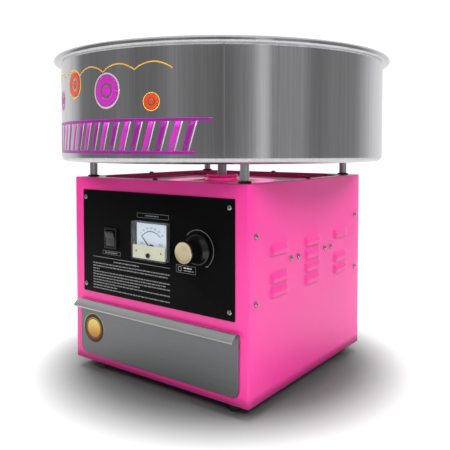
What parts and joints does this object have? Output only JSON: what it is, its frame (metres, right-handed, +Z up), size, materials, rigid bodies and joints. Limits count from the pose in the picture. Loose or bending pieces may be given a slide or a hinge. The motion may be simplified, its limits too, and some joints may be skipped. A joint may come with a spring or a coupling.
{
  "type": "cotton candy machine",
  "caption": "Square sheet-metal cotton candy machine with a wide steel bowl on posts, a heated spinner head, a control panel and a storage drawer.",
  "frame": {"origin": "on the table under the spinner's axis, at the level of the feet", "axes": "+Z up along the spinner's axis, the control panel and drawer face -Y, +X is the right-hand side seen from the front"},
  "size_m": [0.52, 0.5198, 0.4775],
  "materials": {
    "pink_paint": "glossy pink powder coat",
    "black_panel": "satin black screen-printed plate",
    "bowl_steel": "polished stainless sheet",
    "drawer_steel": "brushed stainless sheet",
    "zinc_steel": "zinc plated sheet",
    "chrome_screw": "nickel plated",
    "black_screw": "black oxide",
    "post_steel": "turned steel",
    "rubber": "moulded rubber",
    "black_plastic": "moulded black plastic",
    "knob_plastic": "ribbed black plastic",
    "gold_cap": "spun gold anodised disc",
    "clear_plastic": "clear acrylic",
    "cream_plastic": "cream plastic",
    "dial_white": "printed white dial",
    "needle_black": "black lacquer",
    "motor_iron": "varnished laminations",
    "motor_alloy": "die-cast alloy",
    "copper": "enamelled copper",
    "brass": "turned brass",
    "phenolic": "pressed phenolic",
    "carbon": "pressed carbon",
    "heater_metal": "heat-tinted resistance ribbon",
    "head_alloy": "spun aluminium"
  },
  "bodies": {
    "cabinet": {"cabinet_wrap": "pink_paint", "back_panel": "pink_paint", "base_plate": "pink_paint", "front_corner_angles": "zinc_steel", "electrics_shelf": "zinc_steel", "rubber_feet": "rubber", "foot_screws": "chrome_screw", "side_screws": "chrome_screw", "drawer_runners": "zinc_steel", "top_tray": "pink_paint", "tray_screws": "black_screw", "shaft_collar": "pink_paint", "bowl_posts": "post_steel", "post_washers": "rubber", "bowl": "bowl_steel", "bowl_screws": "chrome_screw", "motor_crossbars": "zinc_steel", "rubber_mounts": "rubber", "motor_plate": "zinc_steel", "mount_bolts": "chrome_screw", "motor_lower_bell": "motor_alloy", "motor_stator": "motor_iron", "motor_windings": "copper", "motor_upper_bell": "motor_alloy", "motor_bearings": "chrome_screw", "brush_block": "phenolic", "brush_bracket": "zinc_steel", "carbon_brushes": "carbon", "brush_springs": "zinc_steel", "control_plate": "black_panel", "control_plate_screws": "chrome_screw", "switch_housing": "black_plastic", "meter_case": "black_plastic", "meter_dial": "dial_white", "meter_window": "clear_plastic", "meter_cover": "cream_plastic", "meter_zero_screw": "black_plastic", "dimmer_pot": "zinc_steel", "dimmer_module": "motor_alloy", "terminal_block": "cream_plastic", "fuse_holder": "black_plastic", "cord_gland": "black_plastic"},
    "drawer": {"drawer_front": "drawer_steel", "drawer_tray": "zinc_steel"},
    "switch_rocker": {"switch_rocker": "knob_plastic"},
    "meter_needle": {"meter_needle": "needle_black"},
    "control_knob": {"knob_shaft": "post_steel", "control_knob": "knob_plastic", "knob_cap": "gold_cap"},
    "spinner": {"spinner_shaft": "post_steel", "motor_rotor": "motor_iron", "slip_ring_hub": "phenolic", "slip_rings": "brass", "head_hub": "motor_alloy", "head_base": "head_alloy", "heater_ring": "heater_metal", "head_band": "head_alloy", "head_cap": "head_alloy", "head_screws": "chrome_screw"}
  },
  "joints": [
    {"name": "drawer_slide", "type": "slide", "parent": "cabinet", "child": "drawer", "axis": [0, -1, 0], "range_m": [0, 0.2]},
    {"name": "switch_rocker_pivot", "type": "hinge", "parent": "cabinet", "child": "switch_rocker", "pos_m": [-0.081, -0.1655, 0.2105], "axis": [-1, 0, 0], "range_deg": [0, 18]},
    {"name": "meter_needle_swing", "type": "hinge", "parent": "cabinet", "child": "meter_needle", "pos_m": [0.0025, -0.1655, 0.203], "axis": [0, 1, 0], "range_deg": [0, 90], "stiffness_Nm_per_rad": 0.001},
    {"name": "control_knob_turn", "type": "hinge", "parent": "cabinet", "child": "control_knob", "pos_m": [0.0844, -0.1655, 0.2105], "axis": [0, 1, 0], "range_deg": [0, 230]},
    {"name": "spinner_spin", "type": "hinge", "parent": "cabinet", "child": "spinner", "pos_m": [0, 0, 0.25], "axis": [0, 0, 1], "continuous": true}
  ]
}
